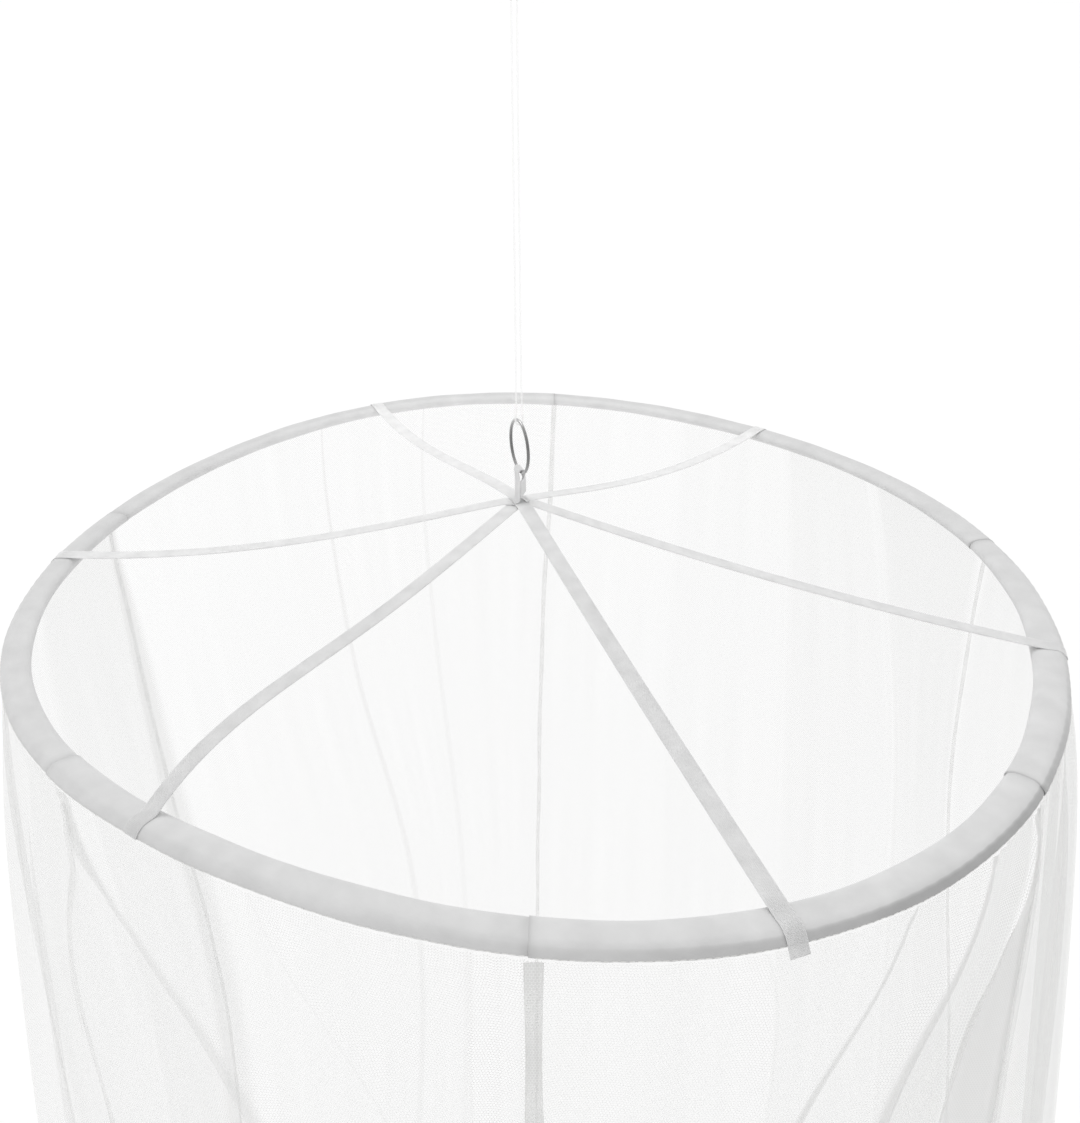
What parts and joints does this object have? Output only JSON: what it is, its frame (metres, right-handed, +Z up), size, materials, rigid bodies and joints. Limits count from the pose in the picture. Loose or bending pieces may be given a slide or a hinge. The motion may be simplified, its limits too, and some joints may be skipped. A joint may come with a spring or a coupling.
{
  "type": "mosquito net canopy with hoop and ceiling hook",
  "caption": "Sheer net canopy that flares from a cloth-covered hoop, hung by crossed straps, a steel ring and a clear line from a ceiling hook.",
  "frame": {"origin": "middle of the ceiling face of the hook's plate", "axes": "+Z up, into the ceiling; +Y to the back; +X to the right"},
  "size_m": [1.1906, 1.1954, 2.4302],
  "materials": {
    "net": "sheer knitted net",
    "sleeve_cloth": "plain weave",
    "woven_tape": "woven tape",
    "hoop_rod": "satin",
    "steel": "satin",
    "clear_line": "clear"
  },
  "bodies": {
    "root": {"net_front_left": "net", "net_front_right": "net", "net_right": "net", "net_back_right": "net", "net_back_left": "net", "net_left": "net", "sleeve_front_left": "sleeve_cloth", "sleeve_front_right": "sleeve_cloth", "sleeve_right": "sleeve_cloth", "sleeve_back_right": "sleeve_cloth", "sleeve_back_left": "sleeve_cloth", "sleeve_left": "sleeve_cloth", "strap_front_right": "woven_tape", "strap_right": "woven_tape", "strap_front_left": "woven_tape", "ring_loop": "woven_tape", "hoop_rod": "hoop_rod", "ring": "steel", "ceiling_hook": "steel", "ceiling_plate": "steel", "line_over_hook": "clear_line", "line_to_knot": "clear_line", "line_knot": "clear_line"}
  },
  "joints": []
}
